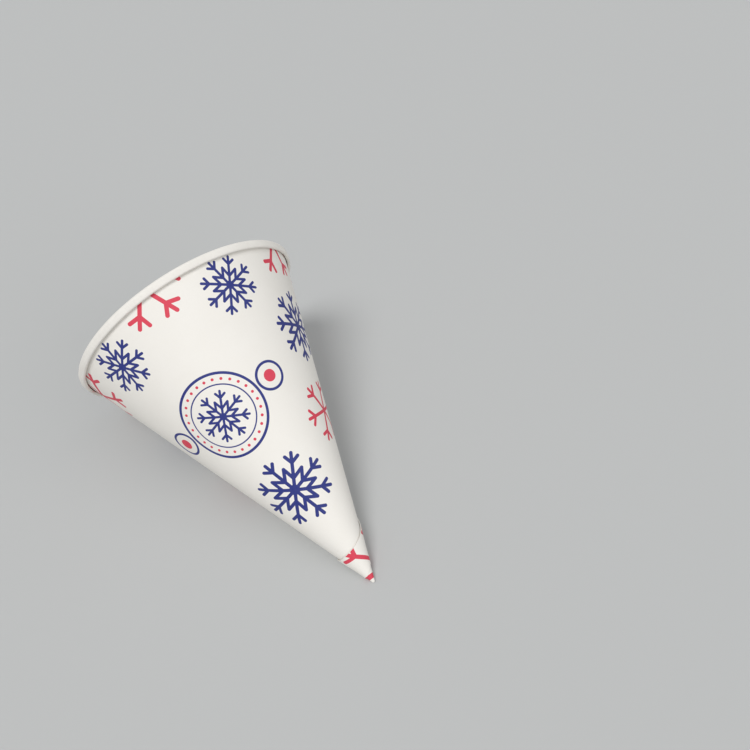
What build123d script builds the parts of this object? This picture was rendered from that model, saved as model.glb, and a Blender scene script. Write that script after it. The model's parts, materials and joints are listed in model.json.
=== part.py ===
from build123d import *

import os
from math import acos, asin, asinh, atan2, cos, cosh, degrees, hypot, pi, radians, sin, sqrt, tan, tanh

# Cone paper cup, lying on its side with the glued seam underneath.
# It is one sheet of paper, wound into a cone, glued, and rolled outwards round the mouth.
# Lengths are in millimetres and turns in degrees.

# The cup as a whole, from the blunt tip to the top of the roll, and across the roll
CUP_HEIGHT = 121.0
RIM_DIAMETER = 92.0
PAPER = 0.25

# The blunt tip, which the tightly wound sheet fills up to a small floor
TIP_RADIUS = 0.6
TIP_FLOOR = 3.0

# The flattened roll round the mouth: its height along the wall, the hollow inside its
# tightest bend, the length of the free end turned up behind it, and the gap left there
ROLL_HEIGHT = 3.0
ROLL_HOLLOW = 0.2
ROLL_TUCK = 0.8
ROLL_CLEARANCE = 0.1

# Short flats round each half turn of the roll, and the width of the small flat spot
# that the soft roll has where it rests on the table
BEND_FLATS = 6
REST_WIDTH = 9.2

# The lap at the mouth, and the width over which the sheet climbs onto its own inner edge
LAP_WIDTH = 10.0
CLIMB_WIDTH = 4.5

# In the flat sheet the straight outer edge passes the apex at this distance, so the corner
# of the sheet winds on round the tip as a flap. The turns are counted from the outer edge
# at the mouth. The flap's edge beside the tip lies on a slanted plane.
FLAP_REACH = 15.4
FLAP_TURN = 311.0
FLAP_TIP = 5.0
FLAP_SLANT = 42.0
FLAP_SLANT_TURN = 100.0

# How far a glued layer sinks into the one below, so that the sheet is one body
GLUE_BITE = 0.1

# Even steps along the sheet's outer edge, as a share of the flap's reach near the tip
EDGE_STEP_SHARE = 0.1


# The roll's two bends. The end bend holds two layers round its hollow, and turns the free
# end up between the roll and the wall, where the lap's second layer still has to pass.
FREE_GAP = PAPER + ROLL_CLEARANCE
END_BEND = PAPER * 2 + ROLL_HOLLOW / 2
ROLL_DEPTH = PAPER + FREE_GAP + END_BEND * 2
TOP_BEND = ROLL_DEPTH / 2

# The wall's outer face is a cone that touches the round tip and runs into the top bend.
TOP_RADIUS = RIM_DIAMETER / 2 - TOP_BEND
TOP_RISE = CUP_HEIGHT - TOP_BEND - TIP_RADIUS
HALF_ANGLE = atan2(TOP_RADIUS, TOP_RISE) - asin((TOP_BEND - PAPER + TIP_RADIUS) / hypot(TOP_RADIUS, TOP_RISE))
APEX_HEIGHT = TIP_RADIUS - TIP_RADIUS / sin(HALF_ANGLE)

# Distances down the slant from the sharp apex of that cone to the two bends' centres
TOP_SLANT = TOP_RADIUS * sin(HALF_ANGLE) + (CUP_HEIGHT - TOP_BEND - APEX_HEIGHT) * cos(HALF_ANGLE)
END_SLANT = TOP_SLANT + TOP_BEND - ROLL_HEIGHT + END_BEND

# Turns about the axis that the lap and the climb take up
MOUTH_RADIUS = TOP_SLANT * sin(HALF_ANGLE)
LAP_TURN = degrees(LAP_WIDTH / MOUTH_RADIUS)
CLIMB_TURN = degrees(CLIMB_WIDTH / MOUTH_RADIUS)

# How deep the roll is pressed in for its flat spot to be that wide
ROLL_CURVE = RIM_DIAMETER / 2 / cos(HALF_ANGLE)
ROLL_PRESS = ROLL_CURVE - sqrt(ROLL_CURVE**2 - (REST_WIDTH / 2) ** 2)


def section_point(slant, out):
    """A point of the wall's section: along the slant from the apex, and out from the outer face."""
    radius = slant * sin(HALF_ANGLE) + out * cos(HALF_ANGLE)
    height = APEX_HEIGHT + slant * cos(HALF_ANGLE) - out * sin(HALF_ANGLE)
    return Vector(radius, 0, height)


def bend(slant, out, radius, way):
    """Half a turn of the roll's section, from beside the wall: way is 1 over the top, else -1."""
    turns = [pi * index / BEND_FLATS for index in range(BEND_FLATS + 1)]
    return [section_point(slant + way * radius * sin(turn), out - radius * cos(turn)) for turn in turns]


def roll_points(depth):
    """One face of the sheet in section, over the top of the roll and round its end.
    Depth is 0 on the side that faces into the cup, and grows through the paper."""
    top = bend(TOP_SLANT, TOP_BEND - PAPER, TOP_BEND - depth, 1)
    end = bend(END_SLANT, FREE_GAP + END_BEND, END_BEND - depth, -1)
    return top + end[::-1]


def sheet_points(depth, low_slant):
    """The same face from low on the wall to the free end inside the roll."""
    low = section_point(low_slant, depth - PAPER)
    free_end = section_point(END_SLANT + ROLL_TUCK, FREE_GAP + depth)
    return [low] + roll_points(depth) + [free_end]


def make_first_turn():
    """The first turn of the sheet with its roll, closed by the blunt tip."""
    floor_slant = (TIP_FLOOR - APEX_HEIGHT) / cos(HALF_ANGLE)
    tip_slant = TIP_RADIUS / tan(HALF_ANGLE)
    inner_face = sheet_points(0, floor_slant)
    outer_face = sheet_points(PAPER, tip_slant)
    floor_centre = Vector(0, 0, inner_face[0].Z)
    tip_bottom = Vector(0, 0, 0)
    tip_angle = (radians(90) + HALF_ANGLE) / 2
    tip_middle = Vector(TIP_RADIUS * cos(tip_angle), 0, TIP_RADIUS - TIP_RADIUS * sin(tip_angle))
    sheet = Polyline(tip_bottom, floor_centre, *inner_face, *outer_face[::-1])
    tip = ThreePointArc(outer_face[0], tip_middle, tip_bottom)
    return revolve(Face(Wire(sheet.edges() + [tip])), Axis.Z)


def outer_edge_place(step):
    """Turn and slant of the sheet's straight outer edge. Step 0 is its nearest point to the
    apex, and the slant grows as a hyperbolic cosine, so even steps suit both of its ends."""
    slant = FLAP_REACH * cosh(step)
    turn = (acos(FLAP_REACH / TOP_SLANT) - asin(tanh(step))) / sin(HALF_ANGLE)
    return turn, slant


def beyond_outer_edge():
    """All that lies above the sheet's outer edge along the axis, from the mouth to the flap's end."""
    flap_bearing = radians(FLAP_TURN + LAP_TURN) * sin(HALF_ANGLE) - acos(FLAP_REACH / TOP_SLANT)
    first = asinh((TOP_SLANT + ROLL_HEIGHT * 2) / FLAP_REACH)
    last = -asinh(tan(flap_bearing))
    count = round((first - last) / EDGE_STEP_SHARE)
    steps = [first + (last - first) * index / count for index in range(count + 1)]
    rails = []
    for radius in (TIP_RADIUS, RIM_DIAMETER):
        points = []
        for step in steps:
            turn, slant = outer_edge_place(step)
            height = APEX_HEIGHT + slant * cos(HALF_ANGLE)
            points.append(Vector(radius * cos(turn), -radius * sin(turn), height))
        rails.append(Edge.make_spline(points, parameters=[first - step for step in steps]))
    ramp = Face.make_surface_from_curves(*rails)
    return extrude(ramp, CUP_HEIGHT * 2, dir=(0, 0, 1))


def make_second_turn():
    """The lap down the seam, and the flap that it becomes round the tip."""
    low_slant = PAPER / tan(HALF_ANGLE)
    glued_face = sheet_points(PAPER - GLUE_BITE, low_slant)
    outer_face = sheet_points(PAPER * 2, low_slant)
    section = Face(Wire.make_polygon(glued_face + outer_face[::-1], close=True))
    turned = Rot(0, 0, -FLAP_TURN) * revolve(section, Axis.Z, LAP_TURN + FLAP_TURN)
    flap_tip = Pos(0, 0, APEX_HEIGHT + FLAP_TIP) * Rot(0, 0, -FLAP_SLANT_TURN) * Rot(0, -FLAP_SLANT, 0)
    return split(turned - beyond_outer_edge(), bisect_by=Plane(flap_tip), keep=Keep.TOP)


def wedge(base_out, edge_out):
    """A long wedge beside the sheet's inner edge, as high as the paper there and tapering to
    nothing over the climb."""
    ends = []
    for slant in (FLAP_REACH, END_SLANT):
        corners = [(base_out, 0), (edge_out, 0), (base_out, CLIMB_TURN)]
        places = [Rot(0, 0, LAP_TURN + turn) * Pos(section_point(slant, out)) for out, turn in corners]
        ends.append(Wire.make_polygon([place.position for place in places], close=True))
    return Solid.make_loft(ends, ruled=True)


def make_cup():
    """The whole sheet in its own frame: the tip at the origin and the mouth upwards."""
    climb = wedge(-GLUE_BITE, PAPER)
    groove = wedge(-PAPER - GLUE_BITE, 0)
    return make_first_turn() + make_second_turn() + climb - groove


def floor_angle(tip, roll):
    """Angle from the axis to a floor that touches two round supports: radius, height and bend."""
    out, rise = roll[0] - tip[0], roll[1] - tip[1]
    return degrees(atan2(out, rise) + asin((roll[2] - tip[2]) / hypot(out, rise)))


def lying_angle():
    """The cup lies on its tip or on the flap beside it, and on the pressed bends of the roll."""
    flap = section_point(FLAP_TIP / cos(HALF_ANGLE), PAPER)
    top = section_point(TOP_SLANT, TOP_BEND - PAPER)
    end = section_point(END_SLANT, FREE_GAP + END_BEND)
    tips = [(0, TIP_RADIUS, TIP_RADIUS), (flap.X, flap.Z, 0)]
    rolls = [(top.X, top.Z, TOP_BEND - ROLL_PRESS), (end.X, end.Z, END_BEND - ROLL_PRESS)]
    return min(max(floor_angle(tip, roll) for roll in rolls) for tip in tips)


def press_flat(cup, roll):
    """The lying cup with its roll pressed flat on the floor, where the paper keeps its
    thickness. The roll is filled up to the middle of its paper."""
    floor = cup.bounding_box().min.Z + ROLL_PRESS
    sheet = Pos(0, 0, floor) * Box(CUP_HEIGHT * 2, CUP_HEIGHT * 2, PAPER * 2)
    return split(cup + (roll & sheet), bisect_by=Plane.XY.offset(floor), keep=Keep.TOP)


def lay_down(cup):
    """Turns the heavy side under the axis, lays that side on the floor with the mouth
    towards +Y, and centres the cup there."""
    heavy = cup.center(CenterOf.MASS)
    heavy_turn = degrees(atan2(heavy.Y, heavy.X))
    laid = Rot(lying_angle() - 90, 0, 0) * Rot(0, 0, 90 - heavy_turn)
    filled_roll = revolve(Face(Wire.make_polygon(roll_points(PAPER / 2), close=True)), Axis.Z)
    resting = press_flat(laid * cup, laid * filled_roll)
    box = resting.bounding_box()
    return Pos(-box.center().X, -box.center().Y, -box.min.Z) * resting


cone_cup = lay_down(make_cup())

os.makedirs("parts", exist_ok=True)
export_step(cone_cup, "parts/cone_cup.step")
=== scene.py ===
import json
from math import acos, asin, atan2, cos, degrees, hypot, pi, radians, sin, tan

import bpy
from mathutils import Matrix, Vector


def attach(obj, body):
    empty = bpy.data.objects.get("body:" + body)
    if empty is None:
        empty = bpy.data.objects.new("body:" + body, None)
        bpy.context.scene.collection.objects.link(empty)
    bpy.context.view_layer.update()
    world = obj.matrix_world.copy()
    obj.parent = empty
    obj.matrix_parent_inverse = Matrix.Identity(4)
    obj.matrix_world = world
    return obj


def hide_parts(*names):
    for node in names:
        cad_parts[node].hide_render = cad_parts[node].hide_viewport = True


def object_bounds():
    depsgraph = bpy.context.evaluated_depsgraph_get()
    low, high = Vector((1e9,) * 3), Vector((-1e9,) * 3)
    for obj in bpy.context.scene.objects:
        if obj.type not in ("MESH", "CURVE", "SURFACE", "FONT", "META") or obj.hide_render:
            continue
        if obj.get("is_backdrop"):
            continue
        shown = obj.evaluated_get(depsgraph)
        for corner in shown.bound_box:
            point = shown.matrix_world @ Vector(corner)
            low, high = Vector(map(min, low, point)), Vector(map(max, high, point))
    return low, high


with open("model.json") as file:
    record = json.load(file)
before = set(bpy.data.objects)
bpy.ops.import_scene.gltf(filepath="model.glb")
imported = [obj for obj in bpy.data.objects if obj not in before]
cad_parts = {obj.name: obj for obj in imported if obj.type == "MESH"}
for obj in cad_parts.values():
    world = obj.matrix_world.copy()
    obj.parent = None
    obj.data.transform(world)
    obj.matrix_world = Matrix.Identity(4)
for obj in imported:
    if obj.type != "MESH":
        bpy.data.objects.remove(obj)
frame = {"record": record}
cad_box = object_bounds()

# A cone paper cup lying on its side. The paper is one sheet: a flat grid is wound into the
# cone, rolled outwards round the mouth and given its thickness, and the print lies on the
# flat sheet, so that it follows the paper round the cone and under the roll.
# Sizes are in metres, with MM for the small ones, and turns are in degrees.

MM = 0.001


# ---- sizes of the sheet, as the part has them

CUP_HEIGHT = 121.0 * MM
RIM_DIAMETER = 92.0 * MM
PAPER = 0.25 * MM
TIP_RADIUS = 0.6 * MM
TIP_FLOOR = 3.0 * MM

ROLL_HEIGHT = 3.0 * MM
ROLL_HOLLOW = 0.2 * MM
ROLL_TUCK = 0.8 * MM
ROLL_CLEARANCE = 0.1 * MM
FREE_GAP = PAPER + ROLL_CLEARANCE
END_BEND = PAPER * 2 + ROLL_HOLLOW / 2
ROLL_DEPTH = PAPER + FREE_GAP + END_BEND * 2
TOP_BEND = ROLL_DEPTH / 2

# The wall is a cone that touches the round tip and runs into the roll's top bend
TOP_RADIUS = RIM_DIAMETER / 2 - TOP_BEND
TOP_RISE = CUP_HEIGHT - TOP_BEND - TIP_RADIUS
HALF_ANGLE = atan2(TOP_RADIUS, TOP_RISE) - asin((TOP_BEND - PAPER + TIP_RADIUS) / hypot(TOP_RADIUS, TOP_RISE))
APEX_HEIGHT = TIP_RADIUS - TIP_RADIUS / sin(HALF_ANGLE)
TIP_SLANT = TIP_RADIUS / tan(HALF_ANGLE)
TOP_SLANT = TOP_RADIUS * sin(HALF_ANGLE) + (CUP_HEIGHT - TOP_BEND - APEX_HEIGHT) * cos(HALF_ANGLE)
END_SLANT = TOP_SLANT + TOP_BEND - ROLL_HEIGHT + END_BEND

# Lengths along the middle of the paper at which the roll's stretches begin
FRONT_START = TOP_SLANT + pi * (TOP_BEND - PAPER / 2)
END_START = FRONT_START + TOP_SLANT - END_SLANT
TUCK_START = END_START + pi * (END_BEND - PAPER / 2)
SHEET_END = TUCK_START + ROLL_TUCK

# The lap and the climb onto the sheet's own inner edge. Winds are counted round the axis
# from that edge, and the second layer lies just clear of the first.
LAP_WIDTH = 10.0 * MM
CLIMB_WIDTH = 4.5 * MM
MOUTH_RADIUS = TOP_SLANT * sin(HALF_ANGLE)
CLIMB_WIND = degrees(CLIMB_WIDTH / MOUTH_RADIUS)
MOUTH_WIND = 360 + degrees(LAP_WIDTH / MOUTH_RADIUS)
LAYER = PAPER * 1.02

# The flap round the tip: how near the sheet's straight outer edge passes the apex, how far
# the flap goes round, and the slanted plane that its edge beside the tip lies on. Between
# two winds the sheet's inner edge leaves the blunt tip for that plane.
FLAP_REACH = 15.4 * MM
FLAP_TURN = 311.0
LAST_WIND = MOUTH_WIND + FLAP_TURN
FLAP_TIP = 5.0 * MM
FLAP_SLANT = 42.0
SLANT_WINDS = (340, 370)

# Turns of the flap's slanted plane and of the sheet's inner edge from the side of the cup
# that lies uppermost
FLAP_SLANT_TURN = -81.8
INNER_EDGE_TURN = -194.7

# The lie of the cup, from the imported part
MOUTH = next(mount for mount in frame["record"]["mounts"] if mount["name"] == "mouth")
AXIS = Vector(MOUTH["axis"]).normalized()
SIDE = Vector((1, 0, 0))
UP = SIDE.cross(AXIS)
TIP = Vector(MOUTH["pos_m"]) - AXIS * CUP_HEIGHT


# ---- unevenness of real paper, which the part leaves out

# Waves stand out by this much. Each has its count round the cup, its phase at the tip, how
# far its phase moves up to the mouth, and its share.
WALL_WAVE = 0.22 * MM
WALL_WAVES = [(2, 0.6, 0, 0.5), (3, 2.0, 3.0, 0.3), (5, 4.1, 0, 0.2)]
ROLL_WAVE = 0.10 * MM
ROLL_WAVES = [(17, 1.0, 0, 0.5), (29, 2.2, 0, 0.3), (43, 0, 0, 0.2)]

# The flap's free edge springs off the cone by this much, over this width of the flap. The
# lift grows between two winds.
FLAP_LIFT = 0.35 * MM
LIFT_WIDTH = 9.0 * MM
LIFT_WINDS = (MOUTH_WIND + 50, MOUTH_WIND + 150)


# ---- steps of the flat grid, and of the tip

# Columns on the first turn, the climb, the lap, the outer edge's run across the roll, the
# steep drop of that edge down the wall, and the flap. The drop takes up this much turn, and
# a spacing above 1 crowds the steps at their start.
TURN_COLUMNS = 142
CLIMB_COLUMNS = 8
LAP_COLUMNS = 5
ROLL_EDGE_COLUMNS = 6
DROP_COLUMNS = 40
DROP_TURN = 30
DROP_SPACING = 1.5
FLAP_COLUMNS = 112

# Rows on the wall, and on the roll's top bend, front and end bend
WALL_ROWS = 44
WALL_SPACING = 1.6
TOP_ROWS = 12
FRONT_ROWS = 2
END_ROWS = 9

TIP_SEGMENTS = 48
TIP_RINGS = 24

# Points nearer to each other than this are merged, and edges up to this angle look smooth
MERGE_REACH = PAPER / 100
SMOOTH_ANGLE = 40


# ---- winding the sheet

def ease(share):
    """A smooth step from 0 to 1."""
    share = min(max(share, 0), 1)
    return share * share * (3 - 2 * share)


def ease_between(value, ends):
    """The same step, as a value goes from one end to the other."""
    return ease((value - ends[0]) / (ends[1] - ends[0]))


def section_at(length, depth):
    """Slant from the apex and distance out from the wall's outer face, at a length along the
    sheet. Depth is 0 on the side that faces into the cup, and grows through the paper."""
    if length <= TOP_SLANT:
        return length, depth - PAPER
    if length <= FRONT_START:
        turn = (length - TOP_SLANT) / (TOP_BEND - PAPER / 2)
        radius = TOP_BEND - depth
        return TOP_SLANT + radius * sin(turn), TOP_BEND - PAPER - radius * cos(turn)
    if length <= END_START:
        return TOP_SLANT - (length - FRONT_START), ROLL_DEPTH - PAPER - depth
    if length <= TUCK_START:
        turn = (length - END_START) / (END_BEND - PAPER / 2)
        radius = END_BEND - depth
        return END_SLANT - radius * sin(turn), FREE_GAP + END_BEND + radius * cos(turn)
    return END_SLANT + length - TUCK_START, FREE_GAP + depth


def outer_length(wind):
    """Length at which the sheet ends: at the roll's free end, or along its straight outer edge."""
    bearing = acos(FLAP_REACH / TOP_SLANT) - radians(wind - MOUTH_WIND) * sin(HALF_ANGLE)
    if bearing >= acos(FLAP_REACH / SHEET_END):
        return SHEET_END
    return FLAP_REACH / cos(bearing)


def inner_length(wind):
    """Length at which the sheet begins: at the blunt tip, or on the flap's slanted plane."""
    turn = radians(wind + INNER_EDGE_TURN - FLAP_SLANT_TURN)
    slope = tan(radians(FLAP_SLANT)) * sin(HALF_ANGLE) * cos(turn)
    cut = FLAP_TIP / (cos(HALF_ANGLE) - slope)
    return TIP_SLANT + (cut - TIP_SLANT) * ease_between(wind, SLANT_WINDS)


def added_waves(waves, angle, share):
    """The waves at an angle round the axis, and a share of the way up to the mouth."""
    return sum(part * sin(count * angle + phase + move * share) for count, phase, move, part in waves)


def unevenness(wind, length):
    """How far the paper stands out of the true cone: slow waves on the wall, finer ones on
    the roll, and the lift of the flap's free edge."""
    angle = radians(wind + INNER_EDGE_TURN)
    share = min(length / TOP_SLANT, 1)
    wall = WALL_WAVE * share * added_waves(WALL_WAVES, angle, share)
    roll = ROLL_WAVE * ease((length - TOP_SLANT) / ROLL_HEIGHT) * added_waves(ROLL_WAVES, angle, share)
    lift = FLAP_LIFT * ease_between(wind, LIFT_WINDS) * ease(1 - (outer_length(wind) - length) / LIFT_WIDTH)
    return wall + roll + lift


def wound(wind, length):
    """Place of the middle of the paper, on the cup as it lies. Where the soft roll rests, it
    is pressed flat on the floor, and its second layer on the first."""
    climb = LAYER * ease_between(wind, (360 - CLIMB_WIND, 360))
    slant, out = section_at(length, PAPER / 2 + climb)
    out += unevenness(wind, length)
    radius = slant * sin(HALF_ANGLE) + out * cos(HALF_ANGLE)
    height = APEX_HEIGHT + slant * cos(HALF_ANGLE) - out * sin(HALF_ANGLE)
    angle = radians(wind + INNER_EDGE_TURN)
    place = TIP + AXIS * height + (UP * cos(angle) - SIDE * sin(angle)) * radius
    place.z = max(place.z, PAPER / 2 + climb * ease((length - FRONT_START) / PAPER))
    return place


def spread(low, high, count, spacing=1):
    """Steps from low up to just before high, even ones where the spacing is 1."""
    return [low + (high - low) * (index / count) ** spacing for index in range(count)]


def sheet_columns():
    """Winds of the grid's columns: close together where the outer edge drops steeply."""
    across_roll = degrees(acos(FLAP_REACH / SHEET_END) - acos(FLAP_REACH / TOP_SLANT)) / sin(HALF_ANGLE)
    columns = spread(0, 360 - CLIMB_WIND, TURN_COLUMNS)
    columns += spread(360 - CLIMB_WIND, 360, CLIMB_COLUMNS)
    columns += spread(360, MOUTH_WIND - across_roll, LAP_COLUMNS)
    columns += spread(MOUTH_WIND - across_roll, MOUTH_WIND, ROLL_EDGE_COLUMNS)
    columns += spread(MOUTH_WIND, MOUTH_WIND + DROP_TURN, DROP_COLUMNS, DROP_SPACING)
    columns += spread(MOUTH_WIND + DROP_TURN, LAST_WIND, FLAP_COLUMNS)
    return columns + [LAST_WIND]


def sheet_rows():
    """Lengths of the grid's rows: close together at the tip and round the roll."""
    rows = spread(TIP_SLANT, TOP_SLANT, WALL_ROWS, WALL_SPACING)
    rows += spread(TOP_SLANT, FRONT_START, TOP_ROWS)
    rows += spread(FRONT_START, END_START, FRONT_ROWS)
    rows += spread(END_START, TUCK_START, END_ROWS)
    return rows + [TUCK_START, SHEET_END]


def only_selected(piece):
    """Makes this the one selected and active object."""
    bpy.ops.object.select_all(action="DESELECT")
    piece.select_set(True)
    bpy.context.view_layer.objects.active = piece


def wind_sheet():
    """A flat grid wound into the cup, with each point's place on the flat sheet kept in
    millimetres: x and y from the apex, and the length along the paper."""
    columns, rows = sheet_columns(), sheet_rows()
    last_column, last_row = len(columns) - 1, len(rows) - 1
    bpy.ops.object.select_all(action="DESELECT")
    bpy.ops.mesh.primitive_grid_add(x_subdivisions=last_column, y_subdivisions=last_row, size=1)
    sheet = bpy.context.object
    plan = sheet.data.attributes.new("sheet_plan", "FLOAT_VECTOR", "POINT")
    for vertex in sheet.data.vertices:
        wind = columns[round((vertex.co.x + 0.5) * last_column)]
        length = rows[round((vertex.co.y + 0.5) * last_row)]
        length = min(max(length, inner_length(wind)), outer_length(wind))
        vertex.co = wound(wind, length)
        bearing = radians(wind + INNER_EDGE_TURN) * sin(HALF_ANGLE)
        plan.data[vertex.index].vector = Vector((sin(bearing), cos(bearing), 1)) * (length / MM)
    only_selected(sheet)
    bpy.ops.object.mode_set(mode="EDIT")
    bpy.ops.mesh.select_all(action="SELECT")
    bpy.ops.mesh.remove_doubles(threshold=MERGE_REACH)
    bpy.ops.mesh.flip_normals()
    bpy.ops.object.mode_set(mode="OBJECT")
    return sheet


def thicken(sheet):
    """Gives the wound sheet its thickness, with the bare side as its second material."""
    solidify = sheet.modifiers.new("paper", "SOLIDIFY")
    solidify.thickness = PAPER
    solidify.offset = 0
    solidify.use_even_offset = True
    solidify.material_offset = 1
    solidify.material_offset_rim = 1
    only_selected(sheet)
    bpy.ops.object.modifier_apply(modifier="paper")


def make_tip():
    """The blunt tip: a small ball whose upper half is drawn up into the cup as a plug."""
    bpy.ops.object.select_all(action="DESELECT")
    bpy.ops.mesh.primitive_uv_sphere_add(
        segments=TIP_SEGMENTS, ring_count=TIP_RINGS, radius=TIP_RADIUS, location=(0, 0, 0))
    tip = bpy.context.object
    bpy.ops.object.mode_set(mode="EDIT")
    bpy.ops.mesh.select_mode(type="VERT")
    bpy.ops.mesh.select_all(action="DESELECT")
    bpy.ops.object.mode_set(mode="OBJECT")
    for vertex in tip.data.vertices:
        vertex.select = vertex.co.z > TIP_RADIUS / 100
    bpy.ops.object.mode_set(mode="EDIT")
    plug_radius = (TIP_FLOOR - APEX_HEIGHT) * tan(HALF_ANGLE) - PAPER / 2
    growth = plug_radius / (TIP_RADIUS * cos(pi / TIP_RINGS))
    bpy.ops.transform.resize(value=(growth, growth, 0), center_override=(0, 0, 0))
    bpy.ops.transform.translate(value=(0, 0, TIP_FLOOR - TIP_RADIUS))
    bpy.ops.object.mode_set(mode="OBJECT")
    lean = AXIS.to_track_quat("Z", "X").to_matrix().to_4x4()
    tip.matrix_world = Matrix.Translation(TIP + AXIS * TIP_RADIUS) @ lean
    only_selected(tip)
    bpy.ops.object.transform_apply(location=True, rotation=True, scale=True)
    return tip


# ---- shader sums

class Shade:
    """A number, colour or vector in one material's nodes. Sums of numbers add Math nodes."""

    # The Mix node's two choices and its result, by the kind of what is mixed
    MIX_SOCKETS = {"FLOAT": (2, 3, 0), "VECTOR": (4, 5, 1), "RGBA": (6, 7, 2)}

    def __init__(self, tree, socket=None):
        self.tree = tree
        self.socket = socket

    def add(self, kind, settings=(), inputs=(), output=0):
        """Any node: its settings, the values or links of its sockets, and the output to use."""
        node = self.tree.nodes.new(kind)
        for name, value in dict(settings).items():
            setattr(node, name, value)
        for name, value in dict(inputs).items():
            if isinstance(value, Shade):
                self.tree.links.new(value.socket, node.inputs[name])
            else:
                node.inputs[name].default_value = value
        return Shade(self.tree, None if output is None else node.outputs[output])

    def sum(self, operation, *values):
        """A Math node's result."""
        return self.add("ShaderNodeMath", {"operation": operation}, enumerate(values))

    def __add__(self, other):
        return self.sum("ADD", self, other)

    def __radd__(self, other):
        return self.sum("ADD", other, self)

    def __sub__(self, other):
        return self.sum("SUBTRACT", self, other)

    def __rsub__(self, other):
        return self.sum("SUBTRACT", other, self)

    def __mul__(self, other):
        return self.sum("MULTIPLY", self, other)

    def __rmul__(self, other):
        return self.sum("MULTIPLY", other, self)

    def __truediv__(self, other):
        return self.sum("DIVIDE", self, other)

    def __rtruediv__(self, other):
        return self.sum("DIVIDE", other, self)

    def __pow__(self, other):
        return self.sum("POWER", self, other)

    def __rpow__(self, other):
        return self.sum("POWER", other, self)

    def __lt__(self, other):
        return self.sum("LESS_THAN", self, other)

    def __gt__(self, other):
        return self.sum("GREATER_THAN", self, other)

    def least(self, other):
        return self.sum("MINIMUM", self, other)

    def most(self, other):
        return self.sum("MAXIMUM", self, other)

    def size(self):
        return self.sum("ABSOLUTE", self)

    def limit(self):
        """This number, held between 0 and 1."""
        return self.most(0).least(1)

    def parts(self):
        """The X, Y and Z of a vector."""
        node = self.add("ShaderNodeSeparateXYZ", inputs={0: self}).socket.node
        return [Shade(self.tree, socket) for socket in node.outputs]

    def choose(self, kind, first, second):
        """The first where this number is 0, and the second where it is 1."""
        first_socket, second_socket, result = self.MIX_SOCKETS[kind]
        inputs = {0: self, first_socket: first, second_socket: second}
        return self.add("ShaderNodeMix", {"data_type": kind}, inputs, result)

    def noise(self, scale, detail=3.0, roughness=0.5):
        """A soft noise from 0 to 1 at these coordinates."""
        inputs = {"Vector": self, "Scale": scale, "Detail": detail, "Roughness": roughness}
        return self.add("ShaderNodeTexNoise", {"noise_dimensions": "3D"}, inputs)


# ---- the print, on the flat sheet in millimetres from the apex

NAVY = (0.010, 0.022, 0.200, 1)
RED = (0.700, 0.043, 0.085, 1)
EDGE_BLUR = 0.06

# Snowflakes of radius 1: the arm, its fork, and on the navy ones the petal between two arms
# and the heart. Each pair is for the navy ones and the red ones.
FLAKE_ARMS = (8, 6)
ARM_END = (0.955, 0.945)
FORK_FOOT = (0.702, 0.660)
FORK_ALONG = (0.864, 0.835)
FORK_ASIDE = (0.165, 0.225)
STROKE = (0.0456, 0.050)
PETAL_FOOT = 0.306
PETAL_END = 0.599
HEART = 0.141

# The snowflakes on the front: place, radius, turn, and whether it is a red one
SNOWFLAKES = [
    ((-8.3, 117.1), 10.55, 27.8, False),
    ((39.9, 109.7), 10.55, 38.0, False),
    ((-30.8, 92.8), 13.8, 21.7, False),
    ((8.05, 44.8), 13.8, 23.1, False),
    ((18.8, 130.2), 14.9, 0.5, True),
    ((-39.8, 124.9), 14.9, 18.0, True),
    ((-21.3, 61.7), 12.0, 6.3, True),
    ((67.8, 100.9), 14.9, 10.0, True),
]
# The front is printed again on the back, this much further round the flat sheet
REPEAT_TURN = 66.0

# One more red snowflake lies beside the apex, so that the flap carries half of it round the
# tip. Near the apex its other half, past a line through its middle, is left bare.
TIP_SNOWFLAKE = ((9.0, 1.1), 14.9, 37.0, True)
TIP_HALF_TURN = -23.0
TIP_HALF_REACH = 27.0

# The roundel: a ring, a ring of dots and a fine ring round a small snowflake, and on each
# side of them a small ring with a bead
ROUNDEL = (16.7, 79.2)
ROUNDEL_TILT = -12.0
RING_RADIUS = 15.2
RING_STROKE = 0.48
DOT_RING = 13.2
DOTS = 28
DOT = 0.52
FINE_RING = 11.3
FINE_STROKE = 0.24
ROUNDEL_SNOWFLAKE = (ROUNDEL, 9.4, 22.0, False)
BEAD_OFFSET = 21.6
BEAD_RING = 4.9
BEAD = 2.2

# The red band round the tip's core, below the flap
TIP_BAND = 3.7
TIP_BAND_STROKE = 0.95


def stroke_distance(across, up, start, end):
    """Distance from a point to the straight stroke between two points."""
    run, rise = end[0] - start[0], end[1] - start[1]
    square = run * run + rise * rise
    share = (((across - start[0]) * run + (up - start[1]) * rise) / square).limit()
    return ((across - start[0] - share * run) ** 2 + (up - start[1] - share * rise) ** 2) ** 0.5


def ink(inside):
    """1 where the distance inside a shape's edge is positive, with a soft edge."""
    return (inside / EDGE_BLUR + 0.5).limit()


def turned(place, turn):
    """A place on the flat sheet, turned about the apex."""
    angle = radians(turn)
    return place[0] * cos(angle) + place[1] * sin(angle), place[1] * cos(angle) - place[0] * sin(angle)


def on_sheet(place, reach):
    """Does a round motif reach onto the sheet? It spreads as far as its inner edge on one
    side, and less far on the other."""
    bearing = degrees(atan2(place[0], place[1]))
    return abs(bearing) < -INNER_EDGE_TURN * sin(HALF_ANGLE) + degrees(reach / hypot(*place))


def printed_snowflakes():
    """All the snowflakes of the print: place, radius, turn and whether it is red."""
    motifs = [TIP_SNOWFLAKE]
    for shift in (-REPEAT_TURN, 0, REPEAT_TURN):
        for place, radius, turn, red in SNOWFLAKES + [ROUNDEL_SNOWFLAKE]:
            if on_sheet(turned(place, shift), radius):
                motifs.append((turned(place, shift), radius, turn - shift, red))
    return motifs


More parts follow.
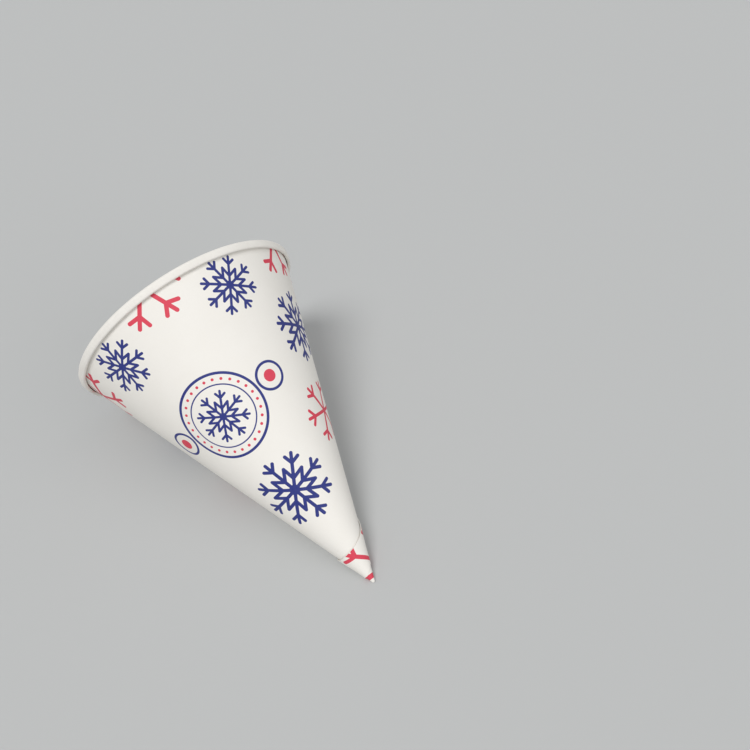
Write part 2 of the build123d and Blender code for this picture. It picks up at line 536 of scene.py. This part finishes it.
def from_middle(plan, place, turn, unit=1):
    """The flat sheet's coordinates, from a motif's middle, turned with it and in its units."""
    inputs = {
        "Vector": plan,
        "Location": (*place, 0),
        "Rotation": (0, 0, radians(turn)),
        "Scale": (unit, unit, 1),
    }
    return plan.add("ShaderNodeMapping", {"vector_type": "TEXTURE"}, inputs)


def nearest_snowflake(plan):
    """The coordinates from the nearest snowflake's middle in units of its radius, the
    distance in them, its radius, and if it is red."""
    local = closest = size = red = None
    for place, radius, turn, is_red in printed_snowflakes():
        here = from_middle(plan, place, turn, radius)
        reach = here.add("ShaderNodeVectorMath", {"operation": "LENGTH"}, {0: here}, "Value")
        if local is None:
            local, closest, size, red = here, reach, radius, float(is_red)
            continue
        nearer = reach < closest
        local = nearer.choose("VECTOR", local, here)
        size = nearer.choose("FLOAT", size, radius)
        red = nearer.choose("FLOAT", red, float(is_red))
        closest = closest.least(reach)
    return local, closest, size, red


def arm_share(x, y, reach, arms):
    """How far along the nearest arm a point lies, and how far aside of it."""
    share = x.sum("FRACT", x.sum("ARCTAN2", y, x) * (arms / (2 * pi)) + (arms + 0.5))
    angle = (share - 0.5).size() * (2 * pi / arms)
    return reach * x.sum("COSINE", angle), reach * x.sum("SINE", angle)


def arms_distance(along, aside, kind):
    """Distance from the strokes of an arm and its fork, less the stroke's half width."""
    arm = stroke_distance(along, aside, (0, 0), (ARM_END[kind], 0))
    fork = stroke_distance(along, aside, (FORK_FOOT[kind], 0), (FORK_ALONG[kind], FORK_ASIDE[kind]))
    return arm.least(fork) - STROKE[kind]


def snowflakes(plan):
    """Where the snowflakes' ink is, and where it is red."""
    local, reach, size, red = nearest_snowflake(plan)
    x, y, _ = local.parts()
    along, aside = arm_share(x, y, reach, FLAKE_ARMS[0])
    petal_angle = pi / FLAKE_ARMS[0]
    petal_end = (PETAL_END * cos(petal_angle), PETAL_END * sin(petal_angle))
    petal = stroke_distance(along, aside, (PETAL_FOOT, 0), petal_end) - STROKE[0]
    navy_flake = arms_distance(along, aside, 0).least(petal).least(reach - HEART)
    red_flake = arms_distance(*arm_share(x, y, reach, FLAKE_ARMS[1]), 1)
    return ink(red.choose("FLOAT", navy_flake, red_flake) * size * -1), red


def left_bare(x, y, length):
    """The half of the snowflake beside the apex that is left bare."""
    (middle_x, middle_y), radius, _, _ = TIP_SNOWFLAKE
    turn = radians(TIP_HALF_TURN)
    beyond = (x - middle_x) * cos(turn) + (y - middle_y) * sin(turn)
    return (length < TIP_HALF_REACH) * (beyond < -STROKE[1] * radius)


def roundel(plan, shift):
    """Ink of the rings, and of the dots and beads, of the roundel shifted round the apex."""
    here = from_middle(plan, turned(ROUNDEL, shift), ROUNDEL_TILT - shift)
    x, y, _ = here.parts()
    reach = (x ** 2 + y ** 2) ** 0.5
    beside = ((x.size() - BEAD_OFFSET) ** 2 + y ** 2) ** 0.5
    ring = RING_STROKE - (reach - RING_RADIUS).size()
    fine = FINE_STROKE - (reach - FINE_RING).size()
    small = RING_STROKE - (beside - BEAD_RING).size()
    along, aside = arm_share(x, y, reach, DOTS)
    dot = DOT - ((along - DOT_RING) ** 2 + aside ** 2) ** 0.5
    return ink(ring.most(fine).most(small)), ink(dot.most(BEAD - beside))


def sheet_print(plan):
    """Where the whole print is navy, and where it is red."""
    flat = plan.add("ShaderNodeVectorMath", {"operation": "MULTIPLY"}, {0: plan, 1: (1, 1, 0)})
    x, y, length = plan.parts()
    flake, flake_is_red = snowflakes(flat)
    front_rings, front_beads = roundel(flat, 0)
    back_rings, back_beads = roundel(flat, -REPEAT_TURN)
    band = ink(TIP_BAND_STROKE - (length - TIP_BAND).size())
    navy = (flake * (1 - flake_is_red)).most(front_rings.most(back_rings))
    red_flake = flake * flake_is_red * (1 - left_bare(x, y, length))
    return navy, red_flake.most(front_beads.most(back_beads)).most(band)


# ---- materials

PAPER_WHITE = (0.890, 0.861, 0.813, 1)
PAPER_WARM = (0.856, 0.822, 0.764, 1)

# Faint clouds and fibres in the board's colour: their noises, and the level and contrast
# at which the warm shade gives way to the white one
CLOUDS = (90.0, 4.0, 0.6)
FIBRES = (1400.0, 2.0, 0.6)
CLOUD_SHARE = 0.7
WHITE_LEVEL = 0.32
WHITE_CONTRAST = 1.6

# The ink covers the board all but for a fine mottle
MOTTLE = (900.0, 3.0, 0.6)
INK_COVER = 0.96

# Tooth of the paper, and on the printed side longer fibres along it
TOOTH = (2600.0, 3.0, 0.65)
TOOTH_SHARE = 0.6
LONG_FIBRES = (1100.0, 2.0, 0.5)
FIBRE_STRETCH = (1.0, 0.35, 1.0)
PRINTED_TOOTH_HEIGHT = 0.02 * MM
PRINTED_TOOTH_STRENGTH = 0.5
BARE_TOOTH_HEIGHT = 0.008 * MM
BARE_TOOTH_STRENGTH = 0.9

# Creases across the roll: their noise, how many lie in a radian of the flat sheet, how many
# along a millimetre, their height, and the width in millimetres over which they begin
CREASES = (1.0, 3.0, 0.7)
CREASES_ROUND = 260.0
CREASES_ALONG = 0.2
CREASE_HEIGHT = 0.24 * MM
CREASE_START = 1.2

# Roughness, how much its soft patches add, how much smoother the ink is, and the sheen
PATCHES = 300.0
PRINTED_ROUGHNESS = 0.62
PRINTED_PATCHES = 0.10
INK_SMOOTHNESS = 0.14
PRINTED_SHEEN = 0.35
BARE_ROUGHNESS = 0.74
BARE_PATCHES = 0.12
BARE_SHEEN = 0.3


def new_material(name):
    """An empty material, with the start of its shader."""
    material = bpy.data.materials.new(name)
    material.use_nodes = True
    material.node_tree.nodes.clear()
    return material, Shade(material.node_tree)


def object_places(start):
    """Places on the cup as it lies, in metres."""
    return start.add("ShaderNodeTexCoord", output="Object")


def sheet_plan(start):
    """Places on the flat sheet, in millimetres."""
    return start.add("ShaderNodeAttribute", {"attribute_name": "sheet_plan"}, output="Vector")


def surface(start, **inputs):
    """The shader of a material, from its sockets' values or links."""
    names = {name.replace("_", " "): value for name, value in inputs.items()}
    shader = start.add("ShaderNodeBsdfPrincipled", inputs=names)
    start.add("ShaderNodeOutputMaterial", inputs={"Surface": shader}, output=None)


def paper_colour(places):
    """White board with faint fibre clouds."""
    level = places.noise(*CLOUDS) * CLOUD_SHARE + places.noise(*FIBRES) * (1 - CLOUD_SHARE)
    return ((level - WHITE_LEVEL) * WHITE_CONTRAST).limit().choose("RGBA", PAPER_WARM, PAPER_WHITE)


def printed_paper():
    """The outer side of the sheet: white board printed in navy and red."""
    material, start = new_material("printed_board")
    places = object_places(start)
    navy, red = sheet_print(sheet_plan(start))
    cover = INK_COVER + places.noise(*MOTTLE) * (1 - INK_COVER)
    colour = (navy * cover).choose("RGBA", paper_colour(places), NAVY)
    colour = (red * cover).choose("RGBA", colour, RED)
    roughness = PRINTED_ROUGHNESS + places.noise(PATCHES) * PRINTED_PATCHES
    roughness = roughness - red.most(navy) * INK_SMOOTHNESS
    stretched = places.add("ShaderNodeMapping", inputs={"Vector": places, "Scale": FIBRE_STRETCH})
    tooth = places.noise(*TOOTH) * TOOTH_SHARE + stretched.noise(*LONG_FIBRES) * (1 - TOOTH_SHARE)
    bump = {"Strength": PRINTED_TOOTH_STRENGTH, "Distance": PRINTED_TOOTH_HEIGHT, "Height": tooth}
    normal = start.add("ShaderNodeBump", inputs=bump)
    surface(start, Base_Color=colour, Roughness=roughness, Normal=normal, Specular_IOR_Level=PRINTED_SHEEN)
    return material


def bare_paper():
    """The inner side of the sheet, which also shows on the roll: uncoated, with fine creases
    across the roll where the paper was curled."""
    material, start = new_material("bare_board")
    places = object_places(start)
    x, y, length = sheet_plan(start).parts()
    on_roll = ((length - TOP_SLANT / MM) / CREASE_START + 0.5).limit()
    across = x.sum("ARCTAN2", x, y) * CREASES_ROUND
    streaks = start.add("ShaderNodeCombineXYZ", inputs={0: across, 1: length * CREASES_ALONG})
    creases = streaks.noise(*CREASES) * on_roll * CREASE_HEIGHT
    height = creases + places.noise(*TOOTH) * BARE_TOOTH_HEIGHT
    bump = {"Strength": BARE_TOOTH_STRENGTH, "Distance": 1.0, "Height": height}
    normal = start.add("ShaderNodeBump", inputs=bump)
    colour = paper_colour(places)
    roughness = BARE_ROUGHNESS + places.noise(PATCHES) * BARE_PATCHES
    surface(start, Base_Color=colour, Roughness=roughness, Normal=normal, Specular_IOR_Level=BARE_SHEEN)
    return material


def make_cup():
    """The whole paper cup, in place of its plain solid."""
    cup = wind_sheet()
    cup.data.materials.append(printed_paper())
    cup.data.materials.append(bare_paper())
    thicken(cup)
    tip = make_tip()
    tip.data.materials.append(cup.data.materials[1])
    only_selected(cup)
    tip.select_set(True)
    bpy.ops.object.join()
    bpy.ops.object.shade_smooth_by_angle(angle=radians(SMOOTH_ANGLE))
    cup.name = "wound_paper"
    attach(cup, "root")
    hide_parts("cone_cup")


# ---- floor, light and camera

FLOOR_COLOUR = (0.500, 0.505, 0.500, 1)
FLOOR_SIZE = 8
FLOOR_ROUGHNESS = 0.75
FLOOR_PATCHES = 0.1
FLOOR_CLOUDS = (3.0, 2.0)
WORLD_COLOUR = (0.96, 0.98, 1.0, 1)
WORLD_STRENGTH = 0.44
BACKDROP_COLOUR = (0.515, 0.525, 0.522, 1)

# Lamps: where each shines from, how wide its soft source looks in degrees, and its strength
KEY = ((-0.52, -0.12, 1.00), 24.0, 1.58)
FILL = ((0.30, -0.85, 0.80), 70.0, 0.70)

CAMERA_PLACE = Vector((-75.94, -158.56, 267.04)) * MM
CAMERA_PITCH = 50.97
CAMERA_YAW = -39.07
FOCAL_PIXELS = 793.5
IMAGE_PIXELS = 750
SENSOR = 36.0
NEAREST_SEEN = 0.01


def make_floor():
    """A plain pale floor."""
    bpy.ops.object.select_all(action="DESELECT")
    bpy.ops.mesh.primitive_plane_add(size=FLOOR_SIZE, location=(0, 0, 0))
    floor = bpy.context.object
    floor.name = "floor"
    material, start = new_material("floor_grey")
    roughness = FLOOR_ROUGHNESS + object_places(start).noise(*FLOOR_CLOUDS) * FLOOR_PATCHES
    surface(start, Base_Color=FLOOR_COLOUR, Roughness=roughness)
    floor.data.materials.append(material)
    floor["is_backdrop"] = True


def make_lamp(name, place, width, strength):
    """A broad soft lamp, far off on the side of the given place."""
    lamp = bpy.data.lights.new(name, "SUN")
    lamp.angle = radians(width)
    lamp.energy = strength
    holder = bpy.data.objects.new(name, lamp)
    holder.location = place
    holder.rotation_euler = Vector(place).to_track_quat("Z", "Y").to_euler()
    bpy.context.collection.objects.link(holder)


def make_light():
    """An even soft light all round, with a plain backdrop, and the two lamps."""
    world = bpy.data.worlds.new("studio")
    world.use_nodes = True
    world.node_tree.nodes.clear()
    start = Shade(world.node_tree)
    seen = start.add("ShaderNodeLightPath", output="Is Camera Ray")
    light = start.add("ShaderNodeBackground", inputs={"Color": WORLD_COLOUR, "Strength": WORLD_STRENGTH})
    backdrop = start.add("ShaderNodeBackground", inputs={"Color": BACKDROP_COLOUR, "Strength": 1.0})
    mixed = start.add("ShaderNodeMixShader", inputs={0: seen, 1: light, 2: backdrop})
    start.add("ShaderNodeOutputWorld", inputs={"Surface": mixed}, output=None)
    bpy.context.scene.world = world
    make_lamp("key", *KEY)
    make_lamp("fill", *FILL)


def make_camera():
    """The camera, where the photograph was taken from."""
    lens = bpy.data.cameras.new("camera")
    lens.sensor_width = SENSOR
    lens.lens = FOCAL_PIXELS / IMAGE_PIXELS * SENSOR
    lens.clip_start = NEAREST_SEEN
    camera = bpy.data.objects.new("camera", lens)
    camera.location = CAMERA_PLACE
    camera.rotation_euler = (radians(90 - CAMERA_PITCH), 0, radians(CAMERA_YAW))
    bpy.context.collection.objects.link(camera)
    bpy.context.scene.camera = camera


make_cup()
make_floor()
make_light()
make_camera()
bpy.context.scene.view_settings.view_transform = "Standard"

boxes = {"cad": cad_box, "visual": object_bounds()}
{name: [list(corner) for corner in box] for name, box in boxes.items()}
